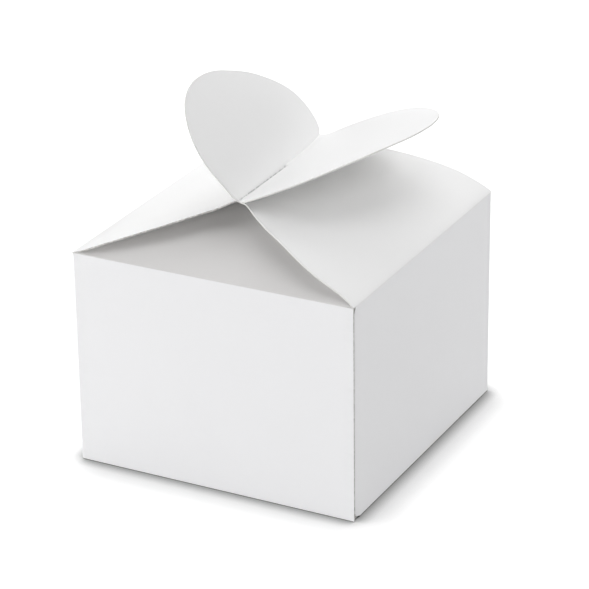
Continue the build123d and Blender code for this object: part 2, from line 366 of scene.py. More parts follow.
# %% A smooth curve
def curve_through(points, steps):
    """A smooth open curve through points: a natural cubic spline over its chord length."""
    p = np.array(points, float)
    chord = np.hypot(*np.diff(p, axis=0).T)
    knots = np.concatenate([[0], np.cumsum(chord)])
    n = len(p)
    a = np.eye(n)
    b = np.zeros((n, 2))
    for i in range(1, n - 1):
        a[i, i - 1 : i + 2] = chord[i - 1], 2 * (chord[i - 1] + chord[i]), chord[i]
        b[i] = 6 * ((p[i + 1] - p[i]) / chord[i] - (p[i] - p[i - 1]) / chord[i - 1])
    bend = np.linalg.solve(a, b)
    at = np.linspace(0, knots[-1], steps + 1)
    i = np.clip(np.searchsorted(knots, at) - 1, 0, n - 2)
    h, s = chord[i][:, None], (at - knots[i])[:, None]
    slope = (p[i + 1] - p[i]) / h - h * (2 * bend[i] + bend[i + 1]) / 6
    out = p[i] + s * slope + s**2 * bend[i] / 2 + s**3 * (bend[i + 1] - bend[i]) / (6 * h)
    return [tuple(q) for q in out]


print("points on a curve", len(curve_through([(0, 0), (3, 4), (9, 5)], 12)))

# %% [markdown]
# ### Filling the outline
# A bent sheet needs points on its face as well. They stand in columns and rows, close together
# where the board bends hard. Those that lie inside the outline and a little clear of it are
# kept, and Blender's own triangulation joins them to the outline.

# %% Fill an outline with triangles
GRID_STEP = 2.0
SAME_POINT = 1e-5
FAR_AWAY = 1e9


def inside_outline(points, ring):
    """Which points lie inside a closed outline, by counting crossings."""
    x, y = points.T
    hit = np.zeros(len(points), bool)
    for (x0, y0), (x1, y1) in zip(ring, np.roll(ring, -1, axis=0)):
        if y0 != y1:
            hit ^= ((y0 > y) != (y1 > y)) & (x < (x1 - x0) * (y - y0) / (y1 - y0) + x0)
    return hit


def distance_to_outline(points, ring):
    """Distance of each point from a closed outline."""
    best = np.full(len(points), FAR_AWAY)
    for a, b in zip(ring, np.roll(ring, -1, axis=0)):
        side = b - a
        t = np.clip(((points - a) @ side) / (side @ side), 0, 1)[:, None]
        best = np.minimum(best, np.hypot(*(points - a - t * side).T))
    return best


def filled(ring, columns, rows, clear):
    """Flat points and triangles of an outline, its own points first and in order."""
    low, high = ring.min(0), ring.max(0)
    if np.isscalar(columns):
        columns = np.arange(low[0], high[0], columns)
    if np.isscalar(rows):
        rows = np.arange(low[1], high[1], rows)
    grid = np.array([(u, v) for u in columns for v in rows])
    grid = grid[inside_outline(grid, ring)]
    grid = grid[distance_to_outline(grid, ring) > clear]
    points = np.concatenate([ring, grid])
    count = len(ring)
    sides = [(i, (i + 1) % count) for i in range(count)]
    keep_inside = 1
    flat, _, faces, origin, _, _ = delaunay_2d_cdt(
        [tuple(p) for p in points], sides, [list(range(count))], keep_inside, SAME_POINT
    )
    assert len(flat) == len(points) and all(o[0] == i for i, o in enumerate(origin))
    return np.array([tuple(p) for p in flat]), [tuple(f) for f in faces]


print("triangles in that square", len(filled(np.array(corner_test), GRID_STEP, GRID_STEP, 0.5)[1]))

# %% [markdown]
# ### Bending the sheet and rounding its rim
# The sheet gets its two faces half a board either side of its middle, and a rim. A cut rim has
# softly crushed edges, so it catches light as real board does. Where the outline is a fold, the
# rim is a full half round about the crease instead, so it stays closed against the wall at any
# angle.

# %% Bend a sheet
CUT_ROUND = 0.06
CUT_TURNS = (90, 45, 0, 0, -45, -90)
FOLD_TURNS = (90, 54, 18, -18, -54, -90)
LAST_ROW = len(CUT_TURNS) - 1
SHORT_STEP = 0.01
SHARPEST_MITRE = 0.5


def unit(vectors):
    """The same directions, one long."""
    return vectors / np.linalg.norm(vectors, axis=1, keepdims=True)


def bent(flat, place):
    """Where flat points lie in space, and which ways the sheet runs there."""
    u, v = flat.T
    along = (place(u + SHORT_STEP, v) - place(u - SHORT_STEP, v)) / (2 * SHORT_STEP)
    across = (place(u, v + SHORT_STEP) - place(u, v - SHORT_STEP)) / (2 * SHORT_STEP)
    return place(u, v), along, across


def off_the_edge(ring, along, across, normal):
    """The way off the sheet at every outline point, mitred at corners, and its direction."""
    back, ahead = ring - np.roll(ring, 1, axis=0), np.roll(ring, -1, axis=0) - ring
    back, ahead = unit(np.c_[back[:, 1], -back[:, 0]]), unit(np.c_[ahead[:, 1], -ahead[:, 0]])
    mitre = (back + ahead) / np.maximum(1 + (back * ahead).sum(1), SHARPEST_MITRE)[:, None]
    turns = (ring[:, 0] * np.roll(ring[:, 1], -1) - np.roll(ring[:, 0], -1) * ring[:, 1]).sum()
    mitre *= np.sign(turns)
    out = along * mitre[:, :1] + across * mitre[:, 1:]
    return out, unit(out - (out * normal).sum(1)[:, None] * normal)


def rim_rows(middle, normal, out, out_unit, folded):
    """Rows of points and normals from the top face round the rim to the face below."""
    for row, (cut_turn, fold_turn) in enumerate(zip(CUT_TURNS, FOLD_TURNS)):
        c, s = math.cos(math.radians(cut_turn)), math.sin(math.radians(cut_turn))
        side = 1 if row <= LAST_ROW // 2 else -1
        cut = (middle + normal * (side * (half_card - CUT_ROUND) + CUT_ROUND * s)
               + out * CUT_ROUND * (c - 1))
        cut_normal = out_unit * c + normal * s
        c, s = math.cos(math.radians(fold_turn)), math.sin(math.radians(fold_turn))
        bead_normal = out_unit * c + normal * s
        bead = middle + bead_normal * half_card
        yield np.where(folded, bead, cut), np.where(folded, bead_normal, cut_normal)


print("rows round a rim", LAST_ROW + 1)

# %% [markdown]
# ### Joining the faces
# The two sides use the same triangles, and bands of four-sided faces go round the rim. Each
# face gets the number of its finish: the outside, the inside or the cut edge. A face that looks
# inwards is turned round.

# %% Join the faces
OUTSIDE, INSIDE, CUT_EDGE = 0, 1, 2


def sheet_faces(faces, count, total, folded):
    """The faces of a sheet with its rim, and the finish of each one."""
    first_face = (LAST_ROW + 1) * count
    top = [i if i < count else first_face + i - count for i in range(total)]
    under = [i + LAST_ROW * count if i < count else first_face + total - count + i - count
             for i in range(total)]
    polygons = [[top[i] for i in f] for f in faces]
    polygons += [[under[i] for i in reversed(f)] for f in faces]
    kinds = [OUTSIDE] * len(faces) + [INSIDE] * len(faces)
    for i in range(count):
        j = (i + 1) % count
        for k in range(LAST_ROW):
            polygons.append([k * count + i, (k + 1) * count + i,
                             (k + 1) * count + j, k * count + j])
            kinds.append(OUTSIDE if folded[i] and folded[j] else CUT_EDGE)
    return polygons, kinds


def facing_out(polygons, verts, normals):
    """The same faces, each one turned to look the way that its normals point."""
    outward = []
    for polygon in polygons:
        a, b, c = (verts[i] for i in polygon[:3])
        facing = np.cross(b - a, c - a) @ normals[polygon].sum(0)
        outward.append(polygon if facing > 0 else polygon[::-1])
    return outward


print("finish numbers", OUTSIDE, INSIDE, CUT_EDGE)

# %% [markdown]
# ### The whole piece
# Now a piece can be made in one call. Its value for wear and painted shade is 1 or more on cut
# edges, where more is painted shade, and whatever the piece asks for on its faces. The mesh rides
# on its body, so it folds with the joint, and it stands for the plain nodes of the imported box.


# %% Make one piece of card
def card_piece(name, outline, place, finishes, body, nodes, slot, fold=None, outer=1,
               columns=GRID_STEP, rows=GRID_STEP, clear=0.7, longest=2.0,
               wear_and_shade_at=None, rim_at=None):
    """Make a sheet of board, hang it on its body and let it stand for its CAD nodes."""
    ring = np.array(resampled(outline, longest))
    count = len(ring)
    flat, faces = filled(ring, columns, rows, clear)
    middle, along, across = bent(flat, place)
    normal = unit(np.cross(along, across)) * outer
    out, out_unit = off_the_edge(ring, along[:count], across[:count], normal[:count])
    folded = np.zeros(count, bool) if fold is None else fold(*ring.T)
    rim = list(rim_rows(middle[:count], normal[:count], out, out_unit, folded[:, None]))
    faces_at = [middle[count:] + normal[count:] * side * half_card for side in (1, -1)]
    verts = np.concatenate([row for row, _ in rim] + faces_at)
    normals = np.concatenate([turned for _, turned in rim] + [normal[count:], -normal[count:]])
    rim_wear_and_shade = np.ones(count) if rim_at is None else np.maximum(1, rim_at(*ring.T))
    brim_wear_and_shade = np.minimum(rim_wear_and_shade, 1)
    face_wear_and_shade = np.zeros(len(flat) - count) if wear_and_shade_at is None else wear_and_shade_at(*flat[count:].T)
    wear_and_shade = np.concatenate(
        [brim_wear_and_shade, *[rim_wear_and_shade] * (LAST_ROW - 1), brim_wear_and_shade, face_wear_and_shade, face_wear_and_shade])
    polygons, kinds = sheet_faces(faces, count, len(flat), folded)
    mesh = bpy.data.meshes.new(name)
    mesh.from_pydata((verts * MM).tolist(), [], facing_out(polygons, verts, normals))
    for finish in finishes:
        mesh.materials.append(finish)
    mesh.polygons.foreach_set("material_index", kinds)
    mesh.polygons.foreach_set("use_smooth", [True] * len(kinds))
    mesh.attributes.new("wear_and_shade", "FLOAT", "POINT").data.foreach_set("value", wear_and_shade)
    mesh.normals_split_custom_set_from_vertices(normals.tolist())
    piece = bpy.data.objects.new(name, mesh)
    bpy.context.scene.collection.objects.link(piece)
    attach(piece, body)
    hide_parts(*nodes)
    flat_size = ring.max(0) - ring.min(0)
    print(name, "faces", len(kinds), "flat size", [round(float(size), 1) for size in flat_size])


def at_root(u, v):
    """Which outline points lie on the crease that the sheet hangs from."""
    return u < HAIR


def crease_wear(u, v):
    """Wear on a face beside its crease, most of all on the crease itself."""
    return 0.7 * np.exp(-u / 0.5)


wall_finishes = (wall_white, inside_white, cut_white)
lid_finishes = (lid_white, inside_white, cut_white)
dust_finishes = (dust_flap_white_in_painted_shade, inside_white, cut_white)
print("finishes of a wall", [m.name for m in wall_finishes])

# %% [markdown]
# ## The sleeve of walls
# The four walls and the glue tab are one strip of board, so they are one piece here too. Its
# flat length runs from the free edge of the front wall, round three rounded folds, to the right
# wall, and round the last fold into the tab behind the front wall. The heading of the strip is
# added up along its length, which makes flats and folds in one go.

# %% Lay out the sleeve
FOLD_RADIUS = 0.6
SEAM_SETBACK = 0.02
GLUE = 0.05
TAB_WIDTH = 14.0
STRIP_STEP, STRIP_SPARE = 0.01, 0.5
fold_x, fold_y = wall_x - FOLD_RADIUS, wall_y - FOLD_RADIUS
seam_edge = wall_x + half_card - SEAM_SETBACK
tab_step = CARD + GLUE
arc = FOLD_RADIUS * math.pi / 2
stretches = [
    seam_edge + fold_x, arc, 2 * fold_y, arc, 2 * fold_x, arc, 2 * fold_y - tab_step, arc,
    TAB_WIDTH,
]
marks = np.concatenate([[0], np.cumsum(stretches)])
headings = np.pi - np.pi / 2 * np.repeat(np.arange(5), 2)
strip = np.arange(0, marks[-1] + STRIP_SPARE, STRIP_STEP)
heading = np.interp(strip, marks, headings)
heading = (heading[1:] + heading[:-1]) / 2
strip_x = seam_edge + np.concatenate([[0], np.cumsum(np.cos(heading))]) * STRIP_STEP
strip_y = -wall_y + np.concatenate([[0], np.cumsum(np.sin(heading))]) * STRIP_STEP
print("strip length", round(float(marks[-1]), 1))

# %% [markdown]
# Board that is held only at its edges bellies a little: here by a few tenths of a millimetre,
# and most on the right wall. The front wall lies flat where the tab backs it.

# %% Bend the sleeve
WALL_BELLY = (0.22, 0.30, 0.35, 0.70)
BACKED_BY_TAB = TAB_WIDTH + 1
BELLY_ACROSS, BELLY_UP = 1.5, 1.2


def on_sleeve(u, z):
    """Where a flat point of the sleeve lies: u along the strip, z up."""
    turn = np.interp(u, marks, headings)
    swell = np.zeros_like(u)
    for wall, belly in enumerate(WALL_BELLY):
        start, end = marks[2 * wall], marks[2 * wall + 1]
        if wall == 0:
            start += BACKED_BY_TAB
        share = np.clip((u - start) / (end - start), 0, 1)
        swell += belly * np.sin(np.pi * share) ** BELLY_ACROSS
    swell = swell * np.sin(np.pi * np.clip(z / crease_z, 0, 1)) ** BELLY_UP
    x = np.interp(u, strip, strip_x) - np.sin(turn) * swell
    y = np.interp(u, strip, strip_y) + np.cos(turn) * swell
    return np.c_[x, y, z]


print("wall bellies in mm", WALL_BELLY)

# %% [markdown]
# The lower edge of the outline steps up at the side walls, where the inner bottom flaps fold,
# and lifts a little beside the glued corner. The tab is cut back at both ends, which leaves the
# small dark pits seen at that corner.

# %% Draw the sleeve's outline
FRONT_FOOT, SIDE_FOOT, REAR_FOOT = 0.15, 0.3, 0.2
CORNER_LIFT, CORNER_REACH = 0.8, 2.2
TAB_NOTCH, TAB_TAPER, TAB_NOTCH_FROM = 1.6, 3.0, 0.35
COLUMNS_PER_FOLD, WALL_COLUMN_STEP, EDGE_COLUMN = 9, 3, 0.12
columns = [EDGE_COLUMN]
for k in range(4):
    columns += list(np.linspace(marks[2 * k + 1], marks[2 * k + 2], COLUMNS_PER_FOLD))
for k in range(5):
    start, end = marks[2 * k], marks[2 * k + 1]
    parts = max(3, int((end - start) / WALL_COLUMN_STEP))
    columns += list(np.linspace(start, end, parts + 1)[1:-1])
strip_columns = np.array(sorted(columns))
tab_fold, tab_flat, tab_end = (float(mark) for mark in marks[7:])
foot_marks = [*marks[:7], tab_fold - CORNER_REACH, tab_fold]
foot_levels = [FRONT_FOOT] * 2 + [SIDE_FOOT] * 2 + [REAR_FOOT] * 2 + [SIDE_FOOT] * 2
foot_levels.append(SIDE_FOOT + CORNER_LIFT)
lower = [(float(u), float(np.interp(u, foot_marks, foot_levels)))
         for u in sorted([0, tab_fold - CORNER_REACH, *strip_columns]) if u <= tab_fold]
upper = [(float(u), crease_z) for u in [0, *strip_columns] if u <= tab_fold]
tab_low = [(tab_fold + TAB_NOTCH_FROM * arc, SIDE_FOOT + TAB_NOTCH),
           (tab_flat, SIDE_FOOT + TAB_NOTCH), (tab_end, SIDE_FOOT + TAB_NOTCH + TAB_TAPER)]
tab_high = [(u, crease_z - z + SIDE_FOOT) for u, z in reversed(tab_low)]
sleeve_outline = lower + tab_low + tab_high + upper[::-1]
print("outline points", len(sleeve_outline))

# %% [markdown]
# Folds wear first, because hands and tables rub them. The thin dark line in the seam of the glued
# corner is painted shade. The film of glue is the imported box's own solid.

# %% Make the sleeve
FOLD_WEAR, FOLD_WEAR_FADE = 0.8, 0.7
# The seam's value paints shade into the seam as its thin dark line.
SEAM_PAINTED_SHADE, SEAM_LIP, SEAM_FROM, SEAM_DEPTH = 20.0, 0.05, 0.45, 3


def near_fold(u, z):
    """Wear on the upright folds, fading over a millimetre, and strong painted shade in the seam.
    """
    gap = np.min([np.maximum(np.maximum(marks[2 * k + 1] - u, u - marks[2 * k + 2]), 0)
                  for k in range(4)], axis=0)
    in_seam = (u < SEAM_LIP) | ((u > tab_fold + SEAM_FROM * arc) & (u < tab_flat + SEAM_DEPTH))
    return np.where(in_seam, SEAM_PAINTED_SHADE, FOLD_WEAR * np.exp(-gap / FOLD_WEAR_FADE))


card_piece(
    "wall_sleeve", sleeve_outline, on_sleeve, wall_finishes, "box_body",
    ["front_panel", "left_panel", "rear_panel", "right_panel", "glue_tab"], "card_wall",
    outer=-1, columns=strip_columns, rows=np.arange(1.5, crease_z, 3.0), clear=0.04,
    longest=3.2, wear_and_shade_at=near_fold, rim_at=near_fold,
)
seam_glue = frame["nodes"]["seam_glue"]
seam_glue.data.materials.clear()
seam_glue.data.materials.append(glue_film)
print("glue", seam_glue.name)

# %% [markdown]
# ## Curved profiles
# A lid flap, its neck and its petal are one strip seen from the side. What can be read off a
# picture is the slope along it, so the profile is made by adding up slopes. At the crease the
# board leaves the wall steeply and eases into the slope of the flap within a millimetre or so,
# which is the soft shoulder that a hand-made fold has.

# %% Profile helpers
PROFILE_STEP = 0.05


def profile_of(slopes):
    """Run and rise along a strip from its slope in degrees at every step."""
    angle = np.radians((slopes[1:] + slopes[:-1]) / 2)
    run = np.concatenate([[0], np.cumsum(np.cos(angle))]) * PROFILE_STEP
    rise = np.concatenate([[0], np.cumsum(np.sin(angle))]) * PROFILE_STEP
    return run, rise


def smooth_step(t):
    """0 up to 0 and 1 from 1, with a soft rise between."""
    t = np.clip(t, 0, 1)
    return t * t * (3 - 2 * t)


def card_ripple(a, b, phase):
    """The slight unevenness of thin board, in millimetres."""
    return (np.sin(a * 0.21 + phase) * np.cos(b * 0.17 - phase) * 0.6
            + np.sin(a * 0.09 - b * 0.13 + 2 * phase) * 0.4)


print("profile step", PROFILE_STEP, "mm")

# %% [markdown]
# ## The two closing sheets
# Each lid flap and its petal are one piece of board. Half of the neck between them is whole,
# and the other half is slit. The left sheet keeps the rear half of its neck and the right sheet
# the front half, so that each neck passes through the other's slit at the middle of the box.
# The side view comes first. The flap's slope is known at four places, and the flap is lifted
# until its neck is as high as the other's. There it turns sharply into the petal.

# %% Closing sheet profile
FOLD_SHOULDER, FOLD_EASE = 20.0, 0.7
SLOPE_AT = (0.0, 14.96, 29.84, 42.8)
SLOPE_END, LINE_END = 48, 90
NECK_RISE, NECK_BEND, LIFT_ROUNDS = 15.3, 0.5, 12
closing_line = np.arange(0, LINE_END, PROFILE_STEP)


def closing_profile(flap_slopes, petal):
    """The neck's place along the strip, and the strip's run and rise."""
    flap = np.polyval(np.polyfit(SLOPE_AT, flap_slopes, 3), np.minimum(closing_line, SLOPE_END))
    shoulder = FOLD_SHOULDER * np.exp(-closing_line / FOLD_EASE)
    lift = 0.0
    for _ in range(LIFT_ROUNDS):
        run, rise = profile_of(flap + shoulder + lift)
        neck = float(np.interp(wall_x, run, closing_line))
        short = NECK_RISE - float(np.interp(neck, closing_line, rise))
        lift += math.degrees(short / neck)
    past = closing_line - neck
    blade = petal["slope"] - petal["curl"] * past
    bend = smooth_step((past + NECK_BEND) / (2 * NECK_BEND))
    return neck, *profile_of((flap + shoulder + lift) * (1 - bend) + blade * bend)


print("profile points", len(closing_line))

# %% [markdown]
# Three soft forms are laid over that profile. The petal is twisted and cupped a little, and its
# loose half, which is slit free of the neck, sags back further. The neck is squeezed in its
# slit, which raises a few faint buckles on the flap beside it. The slit side of the left flap is
# held by nothing, so it hangs a little. All of it was read from the photograph.

# %% Closing sheet surface
PETAL_SETTLES = 0.6
FLAP_RIPPLE, RIPPLE_FROM_CREASE, RIPPLE_FROM_NECK = 0.10, 8, 4
BUCKLE_REACH, BUCKLE_LEAN, BUCKLE_RATE = 16, 0.25, 0.8


def petal_form(t, w, petal):
    """How far the petal stands off its curl: t is the way past the neck, w the way across."""
    lifted = (petal["cup"] * w**2 - (petal["twist"] + petal["twine"] * t) * w) * t
    lifted = lifted + petal["sag"] * np.minimum(w, 0) ** 2
    return lifted * smooth_step(t / PETAL_SETTLES)


def neck_buckles(t, w):
    """Waves on the flap before the neck, on its whole side."""
    strained = np.exp(-((t / BUCKLE_REACH) ** 2)) * smooth_step(-t / 2) * smooth_step(w / 5)
    return strained, np.cos((w - BUCKLE_LEAN * t) * BUCKLE_RATE)


def slit_side(s, t, w):
    """1 on the slit side of the flap, 0 at its crease, neck and middle."""
    return smooth_step(s / 3) * smooth_step((-2 - t) / 4) * smooth_step((-8 - w) / 18)


def closing_surface(side, profile, petal):
    """A function that says where a flat point of a closing sheet lies."""
    neck, run, rise = profile
    slope, rate = math.radians(petal["slope"]), -math.radians(petal["curl"])

    def place(s, w):
        t = s - neck
        x, z = np.interp(s, closing_line, run), np.interp(s, closing_line, rise)
        turn = slope + rate * t
        lifted = petal_form(t, w, petal)
        x, z = x - np.sin(turn) * lifted, z + np.cos(turn) * lifted
        calm = smooth_step(s / RIPPLE_FROM_CREASE) * (1 - np.exp(-((t / RIPPLE_FROM_NECK) ** 2)))
        z = z + FLAP_RIPPLE * calm * card_ripple(s, w, petal["phase"])
        strained, waves = neck_buckles(t, w)
        z = z + petal["buckle"] * strained * waves
        z = z - petal["droop"] * (1 + 0.5 * np.exp(-s / 5)) * slit_side(s, t, w)
        return np.c_[side * (wall_x - x), -side * w, crease_z + z]

    return place


print("surface", closing_surface.__name__)

# %% [markdown]
# Both sheets are cut to one outline, the right one being the left one turned half round. A few
# points of each edge were read from the photograph, as the way along the sheet, from the crease
# on the flap and from the neck on the petal, and the way across it.

# %% Closing sheet outline
SLIT_EDGE = ((0, 41.9), (9, 41.05), (17.9, 38.2), (26.9, 33.8), (35.8, 28.6))
WHOLE_EDGE = (
    (0, 41.8), (2, 41.3), (4, 40.8), (9, 40.3), (17.9, 38.1), (26.9, 33.9), (35.8, 29.3),
)
NECK_HALF_WIDTH = 25.9
SLIT_GAP, SLIT_END = 0.65, 0.2
LOOSE_HEEL, LOOSE_HEEL_SIDE, HEEL_EASE = 26.7, 26.9, 0.3
BROADER_FROM_MIDDLE = 30
SLIT_SIDE_STEPS, LOBE_STEPS = 24, 96
PETAL_EDGE = (
    (3.6, -27.3), (6.6, -26.9), (10.4, -25.2), (14.4, -22.1),
    (17.4, -18.6), (19.6, -15.3), (22.6, -10.0), (25.0, -5.3), (27.2, -0.3), (29.7, 6.5),
    (31.3, 11.3), (32.4, 17.5), (32.2, 24.5), (29.4, 30.8), (24.0, 34.4), (17.6, 35.3),
    (11.4, 33.7), (5.9, 30.9), (1.1, 28.0), (-0.4, 26.9), (-1.8, 26.4), (-4.0, 27.6),
)


def closing_outline(neck, broad, heel):
    """The flat outline of flap and petal, the whole half of the neck at positive widths."""
    stretch = neck / SLOPE_AT[-1]
    flap_start, petal_start = neck - SLIT_GAP, neck + SLIT_GAP
    slit_edge = [(u * stretch, -w) for u, w in SLIT_EDGE] + [(flap_start, -NECK_HALF_WIDTH)]
    slit = [(flap_start, SLIT_END), (petal_start, SLIT_END)]
    grown = [1 + broad * float(smooth_step(w / BROADER_FROM_MIDDLE)) for _, w in PETAL_EDGE]
    lobe = [(petal_start, heel - LOOSE_HEEL),
            (petal_start + HEEL_EASE * heel, HEEL_EASE * heel - LOOSE_HEEL_SIDE)]
    lobe += [(neck + u * size, w * size) for size, (u, w) in zip(grown, PETAL_EDGE)]
    whole_edge = [(u * stretch, w) for u, w in reversed(WHOLE_EDGE)]
    return (curve_through(slit_edge, SLIT_SIDE_STEPS) + slit
            + curve_through(lobe + whole_edge, LOBE_STEPS))


print("points read for an edge", len(SLIT_EDGE) + len(WHOLE_EDGE) + len(PETAL_EDGE))

# %% [markdown]
# The right petal stands steep and the left one lies low, so each has its own values: slopes in
# degrees, curl and twist for each millimetre, sags and buckles in millimetres. Painted shade
# darkens the cut edge of the left flap's slit side, and the bend of the right neck, where thin
# shadowed gaps lie.

# %% Make the closing sheets
# The edge and neck values give the strength of that painted shade.
left_petal = dict(
    flap_slopes=(24.9, 20.8, 18.6, 20.8), slope=24.8, curl=0.514, twist=0.0, twine=-0.00001,
    cup=0.0, sag=-0.0006, broad=0.024, heel=0.5, buckle=0.04, droop=0.6, phase=0.4,
    edge_painted_shade=16.0, neck_painted_shade=0.0,
)
right_petal = dict(
    flap_slopes=(28.1, 21.5, 18.0, 18.9), slope=71.4, curl=0.62, twist=-0.00138,
    twine=-0.000076, cup=-0.0000716, sag=-0.0046, broad=-0.024, heel=2.2, buckle=0.07,
    droop=0.0, phase=1.7, edge_painted_shade=0.0, neck_painted_shade=28.0,
)
CREASE_COLUMNS = (0.25, 0.5, 0.8, 1.2, 1.8, 2.6, 4.0)
NECK_COLUMNS = (-1.3, -0.7, -0.45, -0.3, -0.15, 0, 0.15, 0.3, 0.45, 0.82, 1.02, 1.5, 2.2)
FLAP_STEP, FLAP_FROM, PETAL_FROM, PETAL_TO = 1.9, 6, 4, 36
CLOSING_ROWS = np.arange(-42, 42, FLAP_STEP)
LEAST_CLEAR = 0.13


def closing_wear_and_shade(neck, dust):
    """Wear beside the crease, and painted shade of strength dust along the bend of the whole half
    of the neck.
    """
    def wear(u, v):
        return crease_wear(u, v) + dust * np.exp(-np.abs(u - neck) / 0.22) * smooth_step(v / 2)
    return wear


def slit_edge_painted_shade(neck, dust):
    """Painted shade of strength dust on the cut edge of the flap's slit side, short of its two
    ends.
    """
    def rim(u, v):
        return np.where((u > 0.5) & (u < neck - 0.6) & (v < 0.1), dust, 1)
    return rim


for name, side, petal in (("left", -1, left_petal), ("right", 1, right_petal)):
    profile = closing_profile(petal["flap_slopes"], petal)
    neck = profile[0]
    columns = np.concatenate([
        CREASE_COLUMNS, np.arange(FLAP_FROM, neck - 2, FLAP_STEP), neck + np.array(NECK_COLUMNS),
        np.arange(neck + PETAL_FROM, neck + PETAL_TO, FLAP_STEP),
    ])
    card_piece(
        f"{name}_closing_sheet", closing_outline(neck, petal["broad"], petal["heel"]),
        closing_surface(side, profile, petal), lid_finishes, f"{name}_closing_flap",
        [f"{name}_flap", f"{name}_petal"], "card_flap", fold=at_root, columns=columns,
        rows=CLOSING_ROWS, clear=LEAST_CLEAR, wear_and_shade_at=closing_wear_and_shade(neck, petal["neck_painted_shade"]),
        rim_at=slit_edge_painted_shade(neck, petal["edge_painted_shade"]),
    )

# %% [markdown]
# ## Dust flaps
# Under the lid, a mitred flap leans in from the front wall and from the rear wall. They keep
# dust out and carry the edges of the lid. Each one is mitred so that it fits under both lid
# flaps, and it is bowed as they are. Its fold is soft in the middle and sharper at the corners,
# and one heel is cut back to clear the lid flap there.

# %% Shape the dust flaps
DUST_HALF_WIDTH, DUST_TIP_HALF_WIDTH = wall_x - 0.5, 8.4
DUST_RUN, DUST_RISE, DUST_SPARE = 27.0, 11.0, 0.1
DUST_ROOT_SLOPE, DUST_TIP_SLOPE = 25.0, 19.0
DUST_BOW, DUST_ROLL, DUST_RIPPLE = 1.4, 3.6, 0.06
DUST_HEEL, DUST_HEEL_CUT, DUST_ROOT_CUT, DUST_ROUND = 1.3, 2.6, 0.6, 4.0
dust_line = np.arange(0, 40, PROFILE_STEP)
dust_length = math.hypot(DUST_RUN, DUST_RISE) + DUST_SPARE
dust_slopes = DUST_ROOT_SLOPE + (DUST_TIP_SLOPE - DUST_ROOT_SLOPE) * dust_line / dust_length
dust_run, dust_rise = profile_of(dust_slopes)
dust_corners = [
    (0, DUST_ROOT_CUT - DUST_HALF_WIDTH), (DUST_HEEL, DUST_HEEL_CUT - DUST_HALF_WIDTH),
    (dust_length, -DUST_TIP_HALF_WIDTH), (dust_length, DUST_TIP_HALF_WIDTH),
    (0, DUST_HALF_WIDTH),
]
dust_outline = rounded(dust_corners, (0, 0, DUST_ROUND, DUST_ROUND, 0))


def dust_surface(side):
    """A function that says where a flat point of a dust flap lies."""
    def place(s, w):
        y = wall_y - np.interp(s, dust_line, dust_run)
        z = crease_z + np.interp(s, dust_line, dust_rise)
        bow = DUST_BOW * (1 - np.exp(-s / DUST_ROLL)) * (1 - s / dust_length)
        z = z + bow * np.maximum(1 - (w / DUST_HALF_WIDTH) ** 2, 0)
        z = z + DUST_RIPPLE * smooth_step(s / 8) * card_ripple(s, w, side)
        return np.c_[-side * w, side * y, z]
    return place


print("dust flap length", round(dust_length, 1))

# %% [markdown]
# Both flaps are the same piece, turned to face each other.

# %% Make the dust flaps
for name, side in (("front", -1), ("rear", 1)):
    card_piece(
        f"{name}_dust_sheet", dust_outline, dust_surface(side), dust_finishes, f"{name}_dust",
        [f"{name}_dust_flap"], "card_flap", fold=at_root,
        columns=np.concatenate([CREASE_COLUMNS, np.arange(FLAP_FROM, 30, 2)]),
        outer=-1, clear=LEAST_CLEAR, wear_and_shade_at=crease_wear,
    )

# %% [markdown]
# ## The tucked bottom
# The bottom panel hangs on the rear wall, and its tongue stands up behind the front wall. Both
# are plain board without a bow, because they lie between other boards.

# %% Make the bottom panel and its tongue
_, bottom_y, bottom_z = creases["bottom_panel_fold"]
_, tongue_y, tongue_z = creases["tuck_tongue_fold"]
SIDE_CLEARANCE, TONGUE_INSET = 0.3, 1.6
TONGUE_LENGTH, TONGUE_LEAN = 12.0, math.radians(8.0)
TONGUE_ROUND, TONGUE_ROUND_STEPS = 9.0, 10
PANEL_GRID = dict(columns=4.0, rows=4.0, longest=4.0)
SMALL_GRID = dict(columns=3.0, rows=3.0, longest=3.0)
bottom_half = wall_x - half_card - SIDE_CLEARANCE
tongue_half = bottom_half - TONGUE_INSET
bottom_reach = bottom_y - tongue_y


def oblong(length, half_width):
    """The corners of a panel that hangs from a crease."""
    return [(0, -half_width), (length, -half_width), (length, half_width), (0, half_width)]


card_piece(
    "bottom_sheet", oblong(bottom_reach, bottom_half),
    lambda s, w: np.c_[w, bottom_y - s, np.full_like(s, bottom_z)],
    wall_finishes, "bottom", ["bottom_panel"], "card_wall",
    fold=lambda u, v: (u < HAIR) | (u > bottom_reach - HAIR), outer=-1, **PANEL_GRID,
)
tongue_rise, tongue_run = math.cos(TONGUE_LEAN), math.sin(TONGUE_LEAN)
card_piece(
    "tongue_sheet",
    rounded(oblong(TONGUE_LENGTH, tongue_half), (0, TONGUE_ROUND, TONGUE_ROUND, 0),
            TONGUE_ROUND_STEPS),
    lambda s, w: np.c_[w, tongue_y + s * tongue_run, tongue_z + s * tongue_rise],
    wall_finishes, "tongue", ["tuck_tongue"], "card_inside", fold=at_root, outer=-1,
    **SMALL_GRID,
)

# %% [markdown]
# Two inner flaps from the side walls lie over the bottom panel. They are mitred at the rear so
# that they slip past the rear wall, and only a little at the front.

